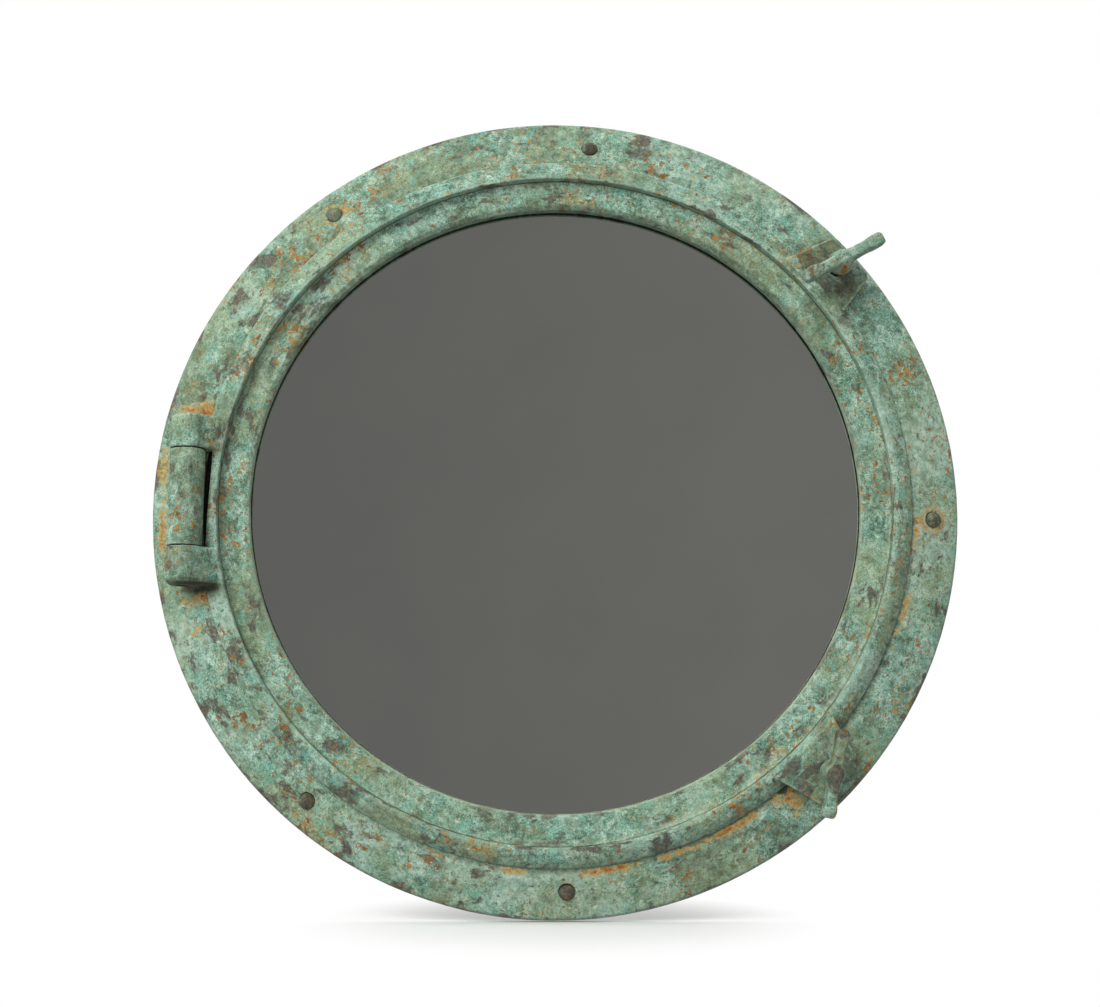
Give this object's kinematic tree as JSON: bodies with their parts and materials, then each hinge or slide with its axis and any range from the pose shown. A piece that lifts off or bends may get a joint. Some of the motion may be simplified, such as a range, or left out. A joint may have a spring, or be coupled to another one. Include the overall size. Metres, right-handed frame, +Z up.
{
  "type": "opening porthole with mirror",
  "caption": "Round wall-mounted porthole mirror: dished verdigris flange, hinged opening ring with a mirror, held shut by swing bolts with wing nuts.",
  "frame": {"origin": "centre of the round flange on the wall plane, at the flange's back face", "axes": "+Z up, +X to the right as seen from the front, the front faces -Y and +Y points into the wall"},
  "size_m": [0.508, 0.0721, 0.508],
  "materials": {
    "frame_bronze": "matt verdigris patina with bare brown metal, ochre and rust-coloured stains",
    "door_bronze": "matt verdigris patina with bare brown metal, ochre and rust-coloured stains",
    "glazing_bronze": "matt verdigris patina, flecked with bare metal and rust-coloured spots",
    "dog_bronze": "dull brown bronze with verdigris",
    "nut_bronze": "verdigris with brown bare metal on the edges",
    "washer_bronze": "dark brown bronze",
    "pin_brass": "dull brass",
    "screw_steel": "dark brown, dull",
    "rear_screw_brass": "dull brass",
    "mirror": "silvered glass, slightly aged",
    "backing_board": "dark brown sheet",
    "rubber_black": "matt black",
    "putty_grey": "matt grey"
  },
  "bodies": {
    "frame": {"frame_ring": "frame_bronze", "mounting_screw_1": "screw_steel", "mounting_screw_2": "screw_steel", "mounting_screw_3": "screw_steel", "mounting_screw_4": "screw_steel", "mounting_screw_5": "screw_steel", "hinge_pin": "pin_brass", "door_gasket": "rubber_black", "dog_pin_upper": "pin_brass", "dog_pin_lower": "pin_brass"},
    "door": {"door_ring": "door_bronze", "glazing_ring": "glazing_bronze", "glazing_screw_1": "rear_screw_brass", "glazing_screw_2": "rear_screw_brass", "glazing_screw_3": "rear_screw_brass", "glazing_screw_4": "rear_screw_brass", "glazing_screw_5": "rear_screw_brass", "glazing_screw_6": "rear_screw_brass", "bedding_front": "rubber_black", "bedding_rear": "putty_grey", "mirror_glass": "mirror", "mirror_backing": "backing_board"},
    "dog_upper": {"dog_bolt_upper": "dog_bronze"},
    "washer_upper": {"dog_washer_upper": "washer_bronze"},
    "nut_upper": {"wing_nut_upper": "nut_bronze"},
    "dog_lower": {"dog_bolt_lower": "dog_bronze"},
    "washer_lower": {"dog_washer_lower": "washer_bronze"},
    "nut_lower": {"wing_nut_lower": "nut_bronze"}
  },
  "joints": [
    {"name": "door_hinge", "type": "hinge", "parent": "frame", "child": "door", "pos_m": [-0.2275, -0.02775, 0], "axis": [0, 0, -1], "range_deg": [0, 175]},
    {"name": "dog_swing_upper", "type": "hinge", "parent": "frame", "child": "dog_upper", "pos_m": [0.17906, -0.0162, 0.14971], "axis": [-0.6414, 0, 0.7672], "range_deg": [0, 67]},
    {"name": "washer_slide_upper", "type": "slide", "parent": "dog_upper", "child": "washer_upper", "axis": [0, -1, 0], "range_m": [-0.00564, 0.00252]},
    {"name": "nut_turn_upper", "type": "hinge", "parent": "washer_upper", "child": "nut_upper", "pos_m": [0.17906, -0.034, 0.14971], "axis": [0, -1, 0], "range_deg": [-1620, 720]},
    {"name": "dog_swing_lower", "type": "hinge", "parent": "frame", "child": "dog_lower", "pos_m": [0.16475, -0.0162, -0.16533], "axis": [0.7083, 0, 0.7059], "range_deg": [0, 67]},
    {"name": "washer_slide_lower", "type": "slide", "parent": "dog_lower", "child": "washer_lower", "axis": [0, -1, 0], "range_m": [-0.00564, 0.00252]},
    {"name": "nut_turn_lower", "type": "hinge", "parent": "washer_lower", "child": "nut_lower", "pos_m": [0.16475, -0.034, -0.16533], "axis": [0, -1, 0], "range_deg": [-1620, 720]}
  ],
  "couplings": [
    {"joint": "washer_slide_upper", "follows": "nut_turn_upper", "m_per_rad": 0.00019894},
    {"joint": "washer_slide_lower", "follows": "nut_turn_lower", "m_per_rad": 0.00019894}
  ]
}
